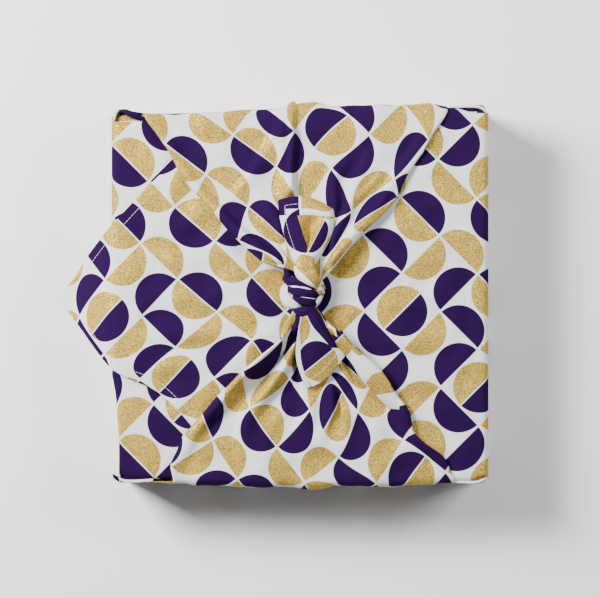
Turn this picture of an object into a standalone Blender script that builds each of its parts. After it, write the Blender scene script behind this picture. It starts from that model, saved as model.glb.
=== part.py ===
"""A square furoshiki cloth tied over a flat, square gift box.

Sizes here are in millimetres and the meshes are in metres, +Z up. The origin is the middle of the parcel's
underside, +X is the right side and +Y the far side. Two opposite corners of the cloth, the left and the right
one, are folded over the box. The other two, the far and the near one, are drawn up over them, gathered and
tied in one knot, and their ends are the two tails. The cloth is one solid: its layers lie a little apart and
meet in the knot and at the box's edges. What each surface gives is its outer face, and Solidify adds the
cloth's thickness on the inner side.
"""

import math

import bmesh
import bpy
from mathutils import Matrix, Vector

MM = 0.001

# The box and the cloth around it
BOX_SIDE = 258.0
BOX_HEIGHT = 63.0
BOX_EDGE = 0.8  # bevel
CLOTH = 1.2  # thickness
CLEAR = 2.0  # cloth to the box's sides and top
GAP = 0.6  # between layers
UNDER_BOX = 0.5  # between the box and the cloth that it stands on

BOX_HALF = BOX_SIDE / 2
BOX_TOP = CLOTH + UNDER_BOX + BOX_HEIGHT

# Each layer's outer face: how far out it hangs past an edge of the box, and how high it lies on the top
LEFT_OUT = BOX_HALF + CLEAR + CLOTH
RIGHT_OUT = LEFT_OUT + GAP + CLOTH
WALL_OUT = RIGHT_OUT + GAP + CLOTH
TIED_OUT = WALL_OUT + 0.5
LEFT_TOP = BOX_TOP + CLEAR + CLOTH
RIGHT_TOP = LEFT_TOP + GAP + CLOTH
TIED_TOP = RIGHT_TOP + 0.9 + CLOTH

# The tray: the underside and the four walls
TRAY_HEIGHT = 66.0
TRAY_CORNER = 6.0
TRAY_FOOT = 2.5
TRAY_LOOPS = (-110.0, -60.0, 0.0, 60.0, 110.0)
TRAY_LEVELS = (22.0, 45.0, 57.0)
POCKET_LENGTH = 26.0  # along the wall, from the corner
# How far the wall's rim stands out at each corner pocket: side of X, side of Y, reach
POCKETS = ((-1, 1, 7.0), (1, 1, 4.5), (-1, -1, 1.6), (1, -1, 1.6))

# The left and right flaps. The cloth's corner is a right angle, so a flap's half width is its distance
# from its corner until it fills the box's top.
LEFT_CORNER_X = 118.0
RIGHT_CORNER_X = -189.0
RIGHT_CORNER_Y = -2.5
OVERHANG = 20.0  # how far a flap hangs down past the box's far and near edges
BLUNT = 1.5  # half width of a flap's very corner
MARGIN_START = 12.0  # how far from the wall the margins hang down their whole length
THIN_MARGIN = 0.9  # the strip that stands for the margin where the flap is narrower than the box
FLAP_ROOT = 12.0  # how far a flap runs down inside its wall
FLAP_RIPPLE = 0.5
# The right flap's corner hangs past the left edge: distance along the cloth, reach past the edge, drop
DROOP = ((0.0, 0.0, 0.0), (6.0, 5.0, 2.0), (14.0, 10.5, 8.0), (27.0, 19.0, 18.0), (41.0, 27.0, 29.0),
         (48.0, 33.0, 33.0), (56.0, 41.0, 34.5))
DROOP_TWIST = 0.22  # how much of its drop the near hem keeps back

# The far and near flaps, from the box's edge to the knot: distance of the line from the box's middle, the
# left edge's X and the right edge's X
FAR_EDGES = ((130.0, -112.0, 107.0), (104.0, -96.5, 88.0), (79.0, -78.5, 74.5), (57.0, -60.5, 57.6),
             (40.0, -43.5, 43.0), (30.0, -29.0, 34.0), (21.0, -15.5, 24.5), (9.0, -9.0, 15.0))
NEAR_EDGES = ((130.0, -91.5, 116.0), (121.0, -94.0, 107.5), (102.0, -85.5, 91.0), (84.0, -69.0, 78.0),
              (69.0, -56.0, 68.5), (56.0, -40.5, 58.0), (46.0, -28.0, 48.5), (32.0, -12.5, 33.5),
              (18.0, -7.0, 17.5), (8.0, -5.0, 13.0))
# Where those edges start at the foot of the wall
FAR_FOOT = (-130.0, 130.0)
NEAR_FOOT = (-127.0, 131.0)
# Folds that run to the knot: place across the flap, half width, height at the knot, height at the box's edge
FAR_FOLDS = ((0.10, 0.07, 4.0, 0.3), (0.30, 0.09, 3.0, 0.4), (0.53, 0.06, 5.0, 2.6), (0.72, 0.09, 3.5, 0.6),
             (0.90, 0.07, 4.5, 0.3))
NEAR_FOLDS = ((0.07, 0.06, 5.0, 0.4), (0.22, 0.06, 6.5, 0.8), (0.38, 0.07, 5.5, 0.8), (0.55, 0.08, 4.0, 0.6),
              (0.73, 0.08, 4.0, 1.0), (0.91, 0.06, 4.5, 0.5))
BUNCHED = 2.5  # how much thicker the gathered cloth is at the knot
RISE = 9.0  # how far the gathered cloth climbs to the knot
RISE_FROM = 58.0  # where the climb starts, from the knot
FLAP_FOOT = 8.0  # height of the tied flaps' lower edge on the walls

# The knot
KNOT = Vector((2.5, 4.0, TIED_TOP + 9.0))
KNOT_TURN = math.radians(-25)

CLOTH_COLOUR = (0.80, 0.78, 0.74, 1)
BOX_COLOUR = (0.72, 0.68, 0.60, 1)


def smooth(t):
    t = min(max(t, 0.0), 1.0)
    return t * t * (3 - 2 * t)


def bump(distance, half_width):
    """1 at the middle of a fold and 0 from half_width on."""
    return 0.5 + 0.5 * math.cos(math.pi * min(abs(distance) / half_width, 1.0))


def read(table, key, column):
    """A column of a table at a key, straight between its rows. The keys rise or fall."""
    rows = sorted(table)
    if key <= rows[0][0]:
        return rows[0][column]
    for low, high in zip(rows, rows[1:]):
        if key <= high[0]:
            share = (key - low[0]) / (high[0] - low[0])
            return low[column] + share * (high[column] - low[column])
    return rows[-1][column]


def material(name, colour, roughness):
    made = bpy.data.materials.new(name)
    made.use_nodes = True
    shader = made.node_tree.nodes["Principled BSDF"]
    shader.inputs["Base Color"].default_value = colour
    shader.inputs["Roughness"].default_value = roughness
    return made


def add(name, bm, group):
    mesh = bpy.data.meshes.new(name)
    bm.to_mesh(mesh)
    bm.free()
    made = bpy.data.objects.new(name, mesh)
    group.objects.link(made)
    return made


def as_cloth(made):
    solid = made.modifiers.new("Thickness", "SOLIDIFY")
    solid.thickness = CLOTH * MM
    solid.offset = -1
    solid.use_even_offset = True
    solid.use_quality_normals = True
    return made


def draped(name, columns, rows, place, group):
    """A slab of columns by rows whose points place(u, v, depth) gives: u and v run from 0 to 1 over the
    cloth, and depth is 0 on its outer face and 1 on its inner one."""
    bm = bmesh.new()
    bmesh.ops.create_grid(bm, x_segments=columns, y_segments=rows, size=0.5)
    extruded = bmesh.ops.extrude_face_region(bm, geom=bm.faces[:])["geom"]
    outer = [part for part in extruded if isinstance(part, bmesh.types.BMVert)]
    bmesh.ops.translate(bm, vec=(0, 0, 1), verts=outer)
    for vert in bm.verts:
        vert.co = Vector(place(vert.co.x + 0.5, vert.co.y + 0.5, 1 - vert.co.z)) * MM
    bmesh.ops.recalc_face_normals(bm, faces=bm.faces)
    return add(name, bm, group)


def along(stops, share):
    """A place in a list of stops, for a grid line at this share of the whole."""
    at = share * (len(stops) - 1)
    low = min(int(at + 1e-6), len(stops) - 2)
    return stops[low] + (at - low) * (stops[low + 1] - stops[low])


def round_edge(way, centre_out, centre_up, radius, inset):
    """Where a cloth is that comes up a wall and turns over its top edge: (out, up) at a way measured from
    the end of the turn, below 0 on the flat top and above it past the turn, down the wall. The point lies
    this inset inside the cloth's outer face."""
    turn = radius * math.pi / 2
    inner = radius - inset
    if way <= 0:
        return centre_out + way, centre_up + inner
    if way >= turn:
        return centre_out + inner, centre_up - (way - turn)
    angle = way / radius
    return centre_out + inner * math.sin(angle), centre_up + inner * math.cos(angle)


def pocket_reach(x, y, z):
    """How far the wall's rim stands out here, for the pocket at the nearest corner."""
    reach = 0.0
    for side_x, side_y, most in POCKETS:
        if side_x * x > 0 and side_y * y > 0:
            from_corner = WALL_OUT - 4 - abs(x)
            reach = most * (1 - smooth(abs(from_corner) / POCKET_LENGTH)) * smooth((z - 25) / 38)
    return reach


def tray(group):
    """The cloth under the box and up its four walls, with the rims of the four corner pockets."""
    bm = bmesh.new()
    bmesh.ops.create_cube(bm, size=1)
    size = Matrix.Diagonal((2 * WALL_OUT, 2 * WALL_OUT, TRAY_HEIGHT, 1))
    bmesh.ops.transform(bm, matrix=Matrix.Translation((0, 0, TRAY_HEIGHT / 2)) @ size, verts=bm.verts)
    top = [f for f in bm.faces if f.normal.z > 0.5]
    bmesh.ops.delete(bm, geom=top, context="FACES_ONLY")
    upright = [e for e in bm.edges if abs(e.verts[0].co.z - e.verts[1].co.z) > 1]
    bmesh.ops.bevel(bm, geom=upright, offset=TRAY_CORNER, segments=3, profile=0.5, affect="EDGES")
    foot = [e for e in bm.edges if max(v.co.z for v in e.verts) < 0.001]
    bmesh.ops.bevel(bm, geom=foot, offset=TRAY_FOOT, segments=2, profile=0.5, affect="EDGES")
    for level in TRAY_LEVELS:
        bmesh.ops.bisect_plane(bm, geom=bm.verts[:] + bm.edges[:] + bm.faces[:], plane_co=(0, 0, level),
                               plane_no=(0, 0, 1))
    for loop in TRAY_LOOPS:
        walls = [f for f in bm.faces if abs(f.normal.z) < 0.1 and abs(f.normal.y) > 0.9]
        part = {v for f in walls for v in f.verts} | {e for f in walls for e in f.edges} | set(walls)
        bmesh.ops.bisect_plane(bm, geom=list(part), plane_co=(loop, 0, 0), plane_no=(1, 0, 0))
    for vert in bm.verts:
        x, y, z = vert.co
        if abs(y) > WALL_OUT - TRAY_CORNER - 0.5:
            vert.co.y += math.copysign(pocket_reach(x, y, z), y)
        vert.co *= MM
    bmesh.ops.recalc_face_normals(bm, faces=bm.faces)
    return as_cloth(add("tray", bm, group))


def side_flap(name, side, corner_x, corner_y, outer, top, group, hangs):
    """The left (side -1) or right (side 1) flap: up inside its wall, over its edge and across the top to
    the cloth's corner, with its far and near margins hanging down past the box's edges."""
    edge_radius = 5.0
    wall_out = WALL_OUT - 0.3
    turn = edge_radius * math.pi / 2
    reach = abs(wall_out - edge_radius - side * corner_x)
    margin_radius = 3.0
    margin_turn = margin_radius * math.pi / 2
    full = outer - margin_radius  # the half width that lies flat
    filled = reach + BLUNT - full  # where the flap is as wide as the box, from its own edge of the top
    hanging_from = filled - margin_turn - OVERHANG
    past = DROOP[-1][0] if hangs else 0.03 * reach
    flat_stops = [reach - past + row[0] for row in reversed(DROOP)] if hangs else [reach, reach - past]
    first = flat_stops[-1]
    flat_stops += [first - (first - filled) * share for share in (0.25, 0.5, 0.75, 1.0)]
    flat_stops += [filled - margin_turn, filled - margin_turn - OVERHANG / 2, hanging_from]
    flat_stops += [hanging_from * share for share in (0.8, 0.6, 0.4, 0.22)]
    flat_stops += [MARGIN_START * share for share in (1.0, 0.35, 0.0)]
    stops = [-d for d in flat_stops] + [turn * 0.33, turn * 0.67, turn, turn + FLAP_ROOT]

    def place(u, v, depth):
        way = along(stops, u if side > 0 else 1 - u)
        inset = depth * CLOTH
        out, up = round_edge(way, wall_out - edge_radius, top - edge_radius, edge_radius, inset)
        x = side * out
        hanging = (margin_turn + OVERHANG) * smooth(-way / MARGIN_START)
        width = min(reach + way + BLUNT, full + hanging)
        margin = max(width - full, THIN_MARGIN)
        inner = width - margin
        steps = (0.0, min(margin_turn / 2, 0.33 * margin), min(margin_turn, 0.67 * margin), margin)
        half = [inner * share for share in (0.0, 0.25, 0.55, 0.85)] + [inner + step for step in steps]
        t = along([-s for s in half[:0:-1]] + half, v)
        y_out, y_up = round_edge(abs(t) - full, full, -margin_radius, margin_radius, inset)
        y = math.copysign(y_out, t)
        z = up + y_up + inset
        blend = smooth((full - width) / 40)
        y += corner_y * blend
        if way <= 0:
            z += FLAP_RIPPLE * (1 + math.sin(x * 0.031 + y * 0.047)) * bump(t, full)
        if hangs:
            beyond = -(x + wall_out - 3)
            if beyond > 0:
                x = -(wall_out - 3) - read(DROOP, beyond, 1)
                near = smooth(0.5 - (y - corner_y) / 60)
                z -= read(DROOP, beyond, 2) * (1 - DROOP_TWIST * near)
        return x, y, z

    return draped(name, len(stops) - 1, 14, place, group)


def tied_flap(name, side, edges, foot, folds, group):
    """The far (side 1) or near (side -1) flap: up the wall, over its edge and, gathered, up to the knot."""
    radius = 5.0
    centre_out, centre_up = TIED_OUT - radius, TIED_TOP - radius
    turn = radius * math.pi / 2
    end = min(row[0] for row in edges)
    flat = centre_out - end
    stops = [-flat * s for s in (1.0, 0.93, 0.86, 0.79, 0.72, 0.64, 0.56, 0.47, 0.38, 0.28, 0.17, 0.06, 0.0)]
    stops += [turn * 0.33, turn * 0.67, turn, turn + 12, turn + 30, turn + centre_up - FLAP_FOOT]

    def fold(u, to_knot):
        height = 0.0
        for middle, half, at_knot, at_edge in folds:
            height += (at_edge + (at_knot - at_edge) * to_knot ** 1.5) * bump(u - middle, half)
        return height

    def place(u, v, depth):
        way = along(stops, v if side > 0 else 1 - v)
        to_knot = min(max(-way / flat, 0.0), 1.0)
        inset = depth * (CLOTH + BUNCHED * to_knot ** 3)
        out, up = round_edge(way, centre_out, centre_up, radius, inset)
        down = smooth((centre_up - up) / centre_up) if way > turn else 0.0
        left = read(edges, out, 1)
        right = read(edges, out, 2)
        left += down * (foot[0] - left)
        right += down * (foot[1] - right)
        climb = RISE * smooth(1 - (out - end) / RISE_FROM) if way < 0 else 0.0
        height = fold(u, to_knot) * (1 - down)
        tilt = min(max(way / turn, 0.0), 1.0) * math.pi / 2
        x = left + (right - left) * u
        return x, side * (out + height * math.sin(tilt)), up + climb + height * math.cos(tilt)

    return draped(name, 30, len(stops) - 1, place, group)


def lump(name, middle, size, turn, group):
    """A rounded lump of bunched cloth."""
    bm = bmesh.new()
    bmesh.ops.create_uvsphere(bm, u_segments=20, v_segments=12, radius=1)
    shape = Matrix.Translation(middle) @ Matrix.Rotation(turn, 4, "Z") @ Matrix.Diagonal((*size, 1))
    bmesh.ops.transform(bm, matrix=Matrix.Scale(MM, 4) @ shape, verts=bm.verts)
    return add(name, bm, group)


def band(name, middle, turn, lean, ring, section, group):
    """A band of cloth that wraps the knot: ring is its half width and half height, section the half
    thickness and half width of the band."""
    bm = bmesh.new()
    segments, sides = 28, 10
    bmesh.ops.create_grid(bm, x_segments=segments, y_segments=sides, size=0.5)
    for vert in bm.verts:
        around = (vert.co.x + 0.5) * math.tau
        over = (vert.co.y + 0.5) * math.tau
        out = section[0] * math.cos(over)
        vert.co = Vector(((ring[0] + out) * math.cos(around), -section[1] * math.sin(over),
                          (ring[1] + out) * math.sin(around)))
    bmesh.ops.remove_doubles(bm, verts=bm.verts, dist=0.01)
    bmesh.ops.recalc_face_normals(bm, faces=bm.faces)
    shape = Matrix.Translation(middle) @ Matrix.Rotation(turn, 4, "Z") @ Matrix.Rotation(lean, 4, "X")
    bmesh.ops.transform(bm, matrix=Matrix.Scale(MM, 4) @ shape, verts=bm.verts)
    return add(name, bm, group)


# The tails, from the knot to the hem: distance from the knot along the tail, then X and height of the
# section's points from its left side to its right
FAR_TAIL = (
    (8.0, ((-6, 6), (-4, 9), (0, 11), (4, 8), (8, 11), (12, 10), (14, 6))),
    (24.0, ((-5, 5), (-4, 10), (0, 13), (5, 7), (10, 13), (14, 12), (15, 6))),
    (36.0, ((-8, 4), (-6, 10), (-1, 13), (6, 5), (13, 14), (18, 13), (17, 5))),
    (50.0, ((-12, 3), (-8, 9), (-2, 12), (7, 4), (17, 14), (23, 12), (20, 4))),
    (65.0, ((-15.5, 3), (-10, 7), (-2, 9), (8, 3.5), (18, 12), (23.5, 10), (20, 4))),
)
NEAR_TAIL = (
    (4.0, ((-5, 7), (-3, 9), (0, 10), (3, 7), (7, 10), (11, 9), (13, 7))),
    (24.0, ((-5.5, 4), (-4, 9), (1, 11), (5, 5), (10, 12), (16, 10), (18, 4))),
    (38.0, ((-5.5, 3), (-4, 8), (3, 10), (9, 5), (14, 10), (22, 8), (24, 3))),
    (52.0, ((-4, 3), (-2, 6), (5, 8), (12, 5), (18, 8), (27, 6), (31, 3))),
    (66.0, ((2, 3), (4, 5), (8, 6), (12, 4.5), (15, 5.5), (18, 5), (20, 3))),
)


def tail(name, side, sections, group):
    """A free end of the cloth, lying on its flap with a hollow down its middle."""
    count = len(sections[0][1])

    def place(u, v):
        row = (v if side > 0 else 1 - v) * (len(sections) - 1)
        low = min(int(row + 1e-6), len(sections) - 2)
        share = row - low
        y = along([s[0] for s in sections], row / (len(sections) - 1))
        spots = []
        for section in (sections[low][1], sections[low + 1][1]):
            spots.append((along([p[0] for p in section], u), along([p[1] for p in section], u)))
        x = spots[0][0] + share * (spots[1][0] - spots[0][0])
        z = spots[0][1] + share * (spots[1][1] - spots[0][1])
        climb = RISE * smooth(1 - y / RISE_FROM)
        return x, side * y, TIED_TOP + 1.5 + climb + z * 0.9

    bm = bmesh.new()
    bmesh.ops.create_grid(bm, x_segments=2 * (count - 1), y_segments=2 * (len(sections) - 1), size=0.5)
    for vert in bm.verts:
        vert.co = Vector(place(vert.co.x + 0.5, vert.co.y + 0.5)) * MM
    return as_cloth(add(name, bm, group))


def join(base, others):
    for other in others:
        other.hide_render = True
        other.display_type = "WIRE"
        union = base.modifiers.new("Join " + other.name, "BOOLEAN")
        union.operation = "UNION"
        union.solver = "EXACT"
        union.object = other


def gift_box(group, finish):
    bm = bmesh.new()
    bmesh.ops.create_cube(bm, size=1)
    size = Matrix.Diagonal((BOX_SIDE * MM, BOX_SIDE * MM, BOX_HEIGHT * MM, 1))
    bmesh.ops.transform(bm, matrix=size, verts=bm.verts)
    made = add("gift_box", bm, group)
    made.location.z = (CLOTH + UNDER_BOX + BOX_HEIGHT / 2) * MM
    made.data.materials.append(finish)
    edge = made.modifiers.new("Edges", "BEVEL")
    edge.width = BOX_EDGE * MM
    edge.segments = 1
    return made


def wrap(group, layers, finish):
    cloth = tray(group)
    cloth.name = "wrap_cloth"
    cloth.data.materials.append(finish)
    folded = [
        side_flap("left_flap", -1, LEFT_CORNER_X, 0.0, LEFT_OUT, LEFT_TOP, layers, False),
        side_flap("right_flap", 1, RIGHT_CORNER_X, RIGHT_CORNER_Y, RIGHT_OUT, RIGHT_TOP, layers, True),
        tied_flap("far_flap", 1, FAR_EDGES, FAR_FOOT, FAR_FOLDS, layers),
        tied_flap("near_flap", -1, NEAR_EDGES, NEAR_FOOT, NEAR_FOLDS, layers),
        lump("knot_core", KNOT, (14.5, 13.5, 10.5), KNOT_TURN, layers),
        band("knot_band", KNOT, KNOT_TURN, 0.0, (13, 8), (4.5, 8), layers),
        tail("far_tail", 1, FAR_TAIL, layers),
        tail("near_tail", -1, NEAR_TAIL, layers),
    ]
    join(cloth, folded)
    return cloth


def main():
    for thing in list(bpy.data.objects):
        bpy.data.objects.remove(thing, do_unlink=True)
    parcel = bpy.data.collections.new("furoshiki_wrap")
    layers = bpy.data.collections.new("cloth_layers")
    for group in (parcel, layers):
        bpy.context.scene.collection.children.link(group)
    wrap(parcel, layers, material("printed_cotton", CLOTH_COLOUR, 0.85))
    gift_box(parcel, material("carton", BOX_COLOUR, 0.9))


main()
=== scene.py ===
"""The looks of a furoshiki tied over a flat box: one printed cotton square, folded, gathered and knotted.

Lengths are in millimetres until a mesh is made. A sheet is a grid of points with, at each point, where it
lies on the print (its counts of the print's two families of lines, which are one cell apart) and on the
cloth's hem (distance from the cloth's edge, place along it).

A spot lays the print flat: the X, Y and two counts of one place, the first family's turn in degrees, and the
cell's two sizes. A way is measured along a flap from where it meets the wall's turned top edge: below 0 on
the top, above 0 round the edge and down the wall.
"""

import math

import bpy
import numpy as np
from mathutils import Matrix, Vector


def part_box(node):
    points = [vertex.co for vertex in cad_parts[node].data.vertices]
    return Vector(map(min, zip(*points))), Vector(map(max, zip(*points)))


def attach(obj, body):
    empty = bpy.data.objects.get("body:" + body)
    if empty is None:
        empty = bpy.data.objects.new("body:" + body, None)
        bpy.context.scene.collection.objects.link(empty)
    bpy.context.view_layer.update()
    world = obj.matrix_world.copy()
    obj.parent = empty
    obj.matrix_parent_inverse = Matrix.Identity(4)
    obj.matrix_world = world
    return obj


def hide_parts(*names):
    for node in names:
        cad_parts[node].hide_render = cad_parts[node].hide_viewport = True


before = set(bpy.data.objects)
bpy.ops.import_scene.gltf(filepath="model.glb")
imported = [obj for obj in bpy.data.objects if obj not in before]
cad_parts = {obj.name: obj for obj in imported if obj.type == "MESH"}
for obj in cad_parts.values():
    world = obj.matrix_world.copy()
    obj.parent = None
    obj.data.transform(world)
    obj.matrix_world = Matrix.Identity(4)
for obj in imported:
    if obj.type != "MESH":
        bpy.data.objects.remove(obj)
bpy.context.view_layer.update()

MM = 0.001

# The frame's own sizes
BOX_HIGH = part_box("gift_box")[1] / MM
BOX_HALF = BOX_HIGH.x
BOX_TOP = BOX_HIGH.z

# Where each layer's outer face lies
LEFT_OUT = BOX_HALF + 3.2
RIGHT_OUT = BOX_HALF + 5.0
WRAP_OUT = BOX_HALF + 6.0
WALL_OUT = BOX_HALF + 6.5
TIED_OUT = BOX_HALF + 7.5
LEFT_TOP = BOX_TOP + 3.2
RIGHT_TOP = BOX_TOP + 5.0
POCKET_TOP = BOX_TOP + 3.0
TIED_TOP = BOX_TOP + 7.1
TIGHT_WALL = BOX_HALF + 0.5  # as close to the box as the far and left walls can be pulled

CLOTH = 0.5  # thickness
EDGE_RADIUS = 5.0  # over the box's top edges
EDGE_TURN = EDGE_RADIUS * math.pi / 2
CORNER_RADIUS = 5.0  # round the box's upright corners
CORNER_TURN = CORNER_RADIUS * math.pi / 2
FOOT_RADIUS = 2.5  # from the walls to the underside
MARGIN_RADIUS = 3.0  # where a side flap's margins turn down
OVERHANG = 22.0  # of those margins

# Distances between a grid's points
EDGE_STEP = 1.6
LEFT_STEP = 4.5
RIGHT_STEP = 3.0
FLAP_STEP = 1.84
WALL_STEP = 3.6
WRAP_STEP = 2.0
UNDER_STEP = 9.0

# The print: half discs in square cells, two columns by four rows to the repeat
CELL = 37.6
DISC = 0.475  # radius, in cells
LINE = 0.0125  # half the white line between two halves, in cells
WHITE = (0, 0, 0, 0, 0, 1e6, 1e6)  # this spot and the next two are all one colour
PURPLE = (0, 0, 1.5, 1.2, 0, 1e6, 1e6)
GOLD = (0, 0, 1.5, 0.8, 0, 1e6, 1e6)
PRINT_SHIFT = 2.88  # of the side flaps' print, along Y
UNDER_SHIFT = 340.0  # of the underside's, along X

# The finished square of cloth, and its stitches
HEM = 6.2  # from the cloth's edge to the stitches
NO_HEM = 99.0  # stands for a place far from every hem
STITCH = 3.1  # from one stitch to the next
STITCH_SHARE = 0.82  # of it that thread covers
THREAD_HALF = 0.17  # half the thread's width

# Where the print's lines lie along the side flaps' two diagonals: places, and the lines' counts there
RIGHT_A = (
    (-448, -147, -109.6, -72.9, -37.2, -1.1, 38.8, 77.6, 116.4, 155.5, 456),
    (-12, -4, -3, -2, -1, 0, 1, 2, 3, 4, 12),
)
RIGHT_B = (
    (-478, -177.2, -141, -103.2, -65, -26.7, 14.3, 52.5, 90.3, 127.3, 428),
    (-12, -4, -3, -2, -1, 0, 1, 2, 3, 4, 12),
)
LEFT_A = ((-444.9, -59.9, 325.1), (-10, 0, 10))
LEFT_B = ((-389.8, 128.1, 350.2), (-14, 0, 6))

# Places of the print's crossing lines on the far and near flaps: X, Y, first count, second count
FAR_PINS = (
    (-97.2, 109.1, 2, 1), (-48.2, 115.1, 1, 2), (-17.3, 92.2, 0, 2), (-67.9, 86.8, 1, 1), (-37.5, 63.4, 0, 1),
    (-4, 117.7, 0, 3), (22.3, 91.1, -1, 3), (49.7, 115.6, -1, 4), (37, 60.2, -2, 3), (67.8, 83.1, -2, 4),
    (92.4, 112.1, -2, 5), (-10.1, 38.9, -1, 1), (-44.3, 39.6, 0, 0), (-11.5, 20.2, -1, 0), (14.4, 31, -2, 2),
    (37.8, 37.9, -3, 3), (14.8, 10.8, -3, 2),
)
NEAR_PINS = (
    (-35.6, -81.4, 1, 2), (-63.1, -104, 1, 1), (-16.7, -109.5, 0, 2), (-45.2, -131.8, 0, 1),
    (7.3, -82.3, 0, 3), (27.6, -116.2, -1, 3), (41.5, -83.6, -1, 4), (74.2, -104.6, -2, 4),
    (3.1, -133.1, -1, 2), (55.2, -134.6, -2, 3), (104.8, -128.2, -3, 4), (-7.6, -59.8, 1, 3),
    (-41.2, -55, 2, 2), (-12.5, -31.2, 2, 3), (-73.7, -73.2, 2, 1), (21.7, -57.2, 0, 4), (-1.4, -18, 2, 4),
    (3.6, -39.6, 1, 4), (-93, -123.3, 1, 0), (50, -65.9, -1, 5), (25.4, -44.7, 0, 5), (92, -80, -2, 5),
)

# X and Y of the side flaps' corners
LEFT_CORNER = (118.0, 0.0)
RIGHT_CORNER = (-189.0, -2.5)
CORNER_TRIM = 4.5  # how far the left flap's far corner is pulled in
HEM_TRIM = 3.0  # how far the right flap's near side is folded under by its corner
SIDE_TRIM = 9.3  # and by its middle

# How the right flap's corner hangs: way past the box's edge, how far out it gets, how far down
DROOP = ((0, 0, 0), (6, 5.6, 2), (14, 12, 8), (27, 22, 18), (41, 31, 29), (48, 37, 33), (56, 45, 34.5))
DROOP_TWIST = 0.22  # the share by which its near side hangs less

# Where the right flap is pulled out of its square: X, Y, and how far it is moved along each
RIGHT_NUDGES = (
    (-90.7, -39.3, 0.7, 2.3), (-102.3, -78.2, 1.4, 8.6), (-77.5, -54, -0.7, 7.7), (-64.3, -63.9, 2.4, 5.9),
    (-63.5, -14.5, 3.6, 1.4), (-37.9, -39.6, 3.1, 6.5), (-114.8, -14.5, 1.4, 0), (-116.4, -64.8, 0.7, 5.4),
    (-135, -50, 0, -0.4), (-60, -110, 1, 8), (-20, -90, 1, 5), (-185, 0, 0, 0), (-150, -10, 0, 0),
    (-150, 20, 0, 0), (-122, 45, 0, 0), (-80, 30, 0, 0), (-30, 45, 0, 0), (-10, 0, 0, 0), (-60, 70, 0, 0),
    (-100, 10, 0, 0), (-88, 60.5, -2.7, -0.7), (-70, 100, 0, 0),
)

# The far and near flaps' edges: distance from the box's middle line, X
FAR_LEFT = (
    (8, -3), (18, -5.8), (23, -24.5), (28, -31.7), (34.6, -39.6), (39.6, -44.6), (47.9, -52.6), (59, -61.4),
    (67, -68.4), (75.8, -77.3), (91, -87.8), (103.7, -94.3), (113, -100.8), (118.8, -105), (127.4, -110.9),
    (134, -113),
)
FAR_RIGHT = (
    (8, 13.8), (19.7, 23.8), (34.8, 36), (45.5, 45), (57.6, 58.8), (69.8, 69.3), (83.5, 75.4), (95.5, 83),
    (107.6, 91.3), (113, 93.6), (131, 105), (134, 106),
)
NEAR_LEFT = (
    (8, -3), (14.4, -6.5), (23, -12.2), (31, -13.7), (43.2, -27.4), (54.7, -41), (67.3, -53.3), (71.3, -57.6),
    (85.7, -69.8), (95.8, -78.7), (103, -85), (111.6, -88), (121.7, -92.6), (134, -91),
)
NEAR_RIGHT = (
    (8, 13), (20.2, 20.2), (27.4, 28.8), (36, 37.4), (44.6, 46.8), (54.7, 56.2), (67, 64.8), (72.7, 69.8),
    (79.2, 75.6), (84.2, 78.5), (91.4, 80), (99.4, 82), (106.6, 89.3), (111.6, 96.5), (115.2, 101.5),
    (121.7, 105.8), (127.4, 108), (134, 111.6),
)
FAR_FOOT = (-130, 130)  # X of their edges at the walls' foot
NEAR_FOOT = (-127, 131)

# How far the cloth stands out from the far and near walls' top edges, by X
FAR_PROUD = (
    (-112, -1.4), (-80, -1.2), (-50, -0.4), (-21, -1.2), (-13, -1.4), (-8, -1), (-3, 0.4), (3, 1.6),
    (11, 1.6), (19, -0.4), (24, -1), (48, -0.6), (80, -0.9), (94, 0.3), (106, -1),
)
NEAR_PROUD = (
    (-92, -1.2), (-60, 0), (-30, 1.4), (0, 1.6), (13, 3), (24, 1), (36, 1), (50, 0.2), (68, 1.3), (84, -0.6),
    (102, -1.4),
)

# How much of its distance from the box the cloth keeps: by X on the far wall, by Y on the left one
FAR_KEPT = (
    (-136, 0.5), (-128, 0.45), (-118, 0.35), (-110, 0.2), (-85, 0.18), (-70, 0.2), (-58, 0.28), (-46, 0.5),
    (-25, 0.55), (-14, 0.6), (-6, 0.9), (10, 1), (20, 1), (136, 1),
)
LEFT_KEPT = (
    (-136, 0.14), (-105, 0.14), (-96, 0.22), (-84, 0.38), (-73, 0.5), (-64, 0.75), (-56, 1), (-50, 1),
    (136, 1),
)

# The far and near flaps' grids and forms
FLAP_COLUMNS = 112
ROLL_COLUMNS = 5
TUCK_COLUMNS = 8
ROLL = 1.2  # radius of their turned-in sides
TUCK = ((8, 3), (30, 8), (60, 18), (130, 42))  # distance from the middle, cloth turned in
PUFF = 1.5  # height of the swelling along their sides
LAST_Y = 134.0  # where creases and pins end, and the print runs on evenly down the wall
KNOT_REACH = 8.5  # from the box's middle line to where they go into the knot
RISE = 9.5  # how far the gathers lift them there
RISE_RUN = 74.0  # over how long a run
TAIL_START = 14.0  # from the box's middle line
TAIL_ENDS = {1: (2.0, 58.0, 15.0), -1: (13.0, 54.0, 10.0)}  # end of a tail's middle line, half its width

# The cloth's small waves: length, turn in radians, height, start
RUMPLES = ((41, 0.5, 0.6, 0), (27, 1.9, 0.42, 2), (17, 2.7, 0.2, 4), (31, 1.2, 0.38, 1))

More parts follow.
